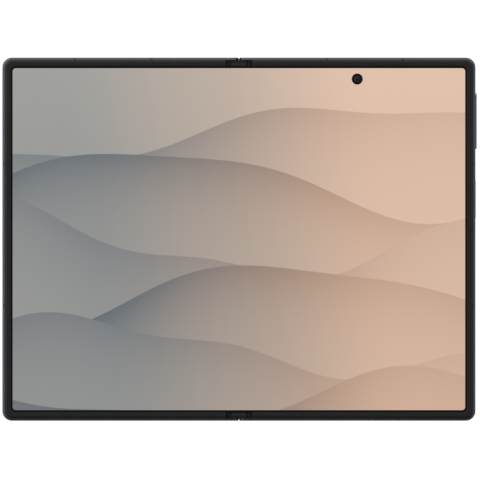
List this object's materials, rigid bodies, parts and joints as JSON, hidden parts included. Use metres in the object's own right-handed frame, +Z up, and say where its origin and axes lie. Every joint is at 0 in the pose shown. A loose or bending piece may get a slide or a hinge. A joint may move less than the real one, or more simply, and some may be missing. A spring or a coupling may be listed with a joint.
{
  "type": "foldable smartphone",
  "caption": "Book-style foldable smartphone, open flat, with a large flexible inner screen, outer screen, geared hinge, rear camera island, side keys and SIM tray.",
  "frame": {"origin": "under the middle of the hinge, on the plane the phone lies on (the ends of the lens rings)", "axes": "+X across the fold towards the half with the keys, +Y along the hinge towards the inner camera's edge, +Z up out of the inner screen"},
  "size_m": [0.1619, 0.1238, 0.0062],
  "materials": {
    "frame_metal": "anodised satin",
    "band_plastic": "satin, matched to the metal",
    "bezel_plastic": "fine matte",
    "inner_screen": "flexible screen, lit",
    "back_glass": "frosted, slate",
    "cover_glass": "polished, dark",
    "ring_metal": "turned",
    "lens_glass": "coated",
    "flash_plastic": "clear, ribbed",
    "camera_body": "black",
    "panel_black": "unlit screen panel",
    "board_green": "solder mask",
    "battery_wrap": "pouch foil",
    "copper": "wound wire",
    "flex": "polyimide",
    "steel": "plain",
    "socket_black": "moulded",
    "magnet": "nickel plated"
  },
  "bodies": {
    "right_half": {"right_frame": "frame_metal", "right_antenna_bands": "band_plastic", "right_bezel": "bezel_plastic", "display_right": "inner_screen", "rear_glass": "back_glass", "camera_island": "frame_metal", "camera_rings": "ring_metal", "camera_windows": "lens_glass", "flash_lens": "flash_plastic", "main_camera": "camera_body", "wide_camera": "camera_body", "inner_camera": "camera_body", "inner_camera_window": "lens_glass", "key_switches": "flex", "main_board": "board_green", "board_shields": "steel", "right_battery": "battery_wrap", "charging_coil": "copper", "usb_board": "board_green", "usb_shell": "steel", "usb_tongue": "socket_black", "bottom_speaker": "socket_black", "vibration_motor": "steel", "right_magnets": "magnet", "right_screws": "steel", "right_hinge_arms": "steel", "right_pinion_shafts": "steel", "right_disc_springs": "steel"},
    "spine": {"hinge_housing": "frame_metal", "hinge_end_caps": "bezel_plastic", "hinge_blocks": "steel", "hinge_block_screws": "steel", "display_support": "steel", "display_fold": "inner_screen", "fold_cable": "flex"},
    "left_half": {"left_frame": "frame_metal", "left_antenna_bands": "band_plastic", "left_bezel": "bezel_plastic", "display_left": "inner_screen", "cover_glass": "cover_glass", "cover_display": "panel_black", "cover_camera": "camera_body", "left_battery": "battery_wrap", "left_board": "board_green", "sim_socket": "steel", "top_speaker": "socket_black", "left_magnets": "magnet", "left_screws": "steel", "left_hinge_arms": "steel", "left_pinion_shafts": "steel", "left_disc_springs": "steel"},
    "idler_right": {"right_idler_gears": "steel"},
    "idler_left": {"left_idler_gears": "steel"},
    "volume_rocker": {"volume_key": "frame_metal"},
    "power_button": {"power_key": "frame_metal"},
    "tray": {"sim_tray": "frame_metal"}
  },
  "joints": [
    {"name": "spine_fold", "type": "hinge", "parent": "right_half", "child": "spine", "pos_m": [0.00245, 0, 0.0038], "axis": [0, 1, 0], "range_deg": [0, 90], "deforming": ["display_fold", "fold_cable"]},
    {"name": "left_fold", "type": "hinge", "parent": "spine", "child": "left_half", "pos_m": [-0.00245, 0, 0.0038], "axis": [0, 1, 0], "range_deg": [0, 90]},
    {"name": "idler_right_spin", "type": "hinge", "parent": "spine", "child": "idler_right", "pos_m": [0.00082, 0, 0.0038], "axis": [0, 1, 0], "range_deg": [0, 90]},
    {"name": "idler_left_spin", "type": "hinge", "parent": "spine", "child": "idler_left", "pos_m": [-0.00082, 0, 0.0038], "axis": [0, 1, 0], "range_deg": [-90, 0]},
    {"name": "volume_press", "type": "slide", "parent": "right_half", "child": "volume_rocker", "axis": [-1, 0, 0], "range_m": [0, 0.00025], "stiffness_N_per_m": 200, "springref_m": -0.0005},
    {"name": "power_press", "type": "slide", "parent": "right_half", "child": "power_button", "axis": [-1, 0, 0], "range_m": [0, 0.00015], "stiffness_N_per_m": 200, "springref_m": -0.0005},
    {"name": "tray_slide", "type": "slide", "parent": "left_half", "child": "tray", "axis": [0, -1, 0], "range_m": [0, 0.021]}
  ],
  "couplings": [
    {"joint": "left_fold", "follows": "spine_fold", "ratio": 1},
    {"joint": "idler_right_spin", "follows": "spine_fold", "ratio": 1},
    {"joint": "idler_left_spin", "follows": "spine_fold", "ratio": -1}
  ]
}
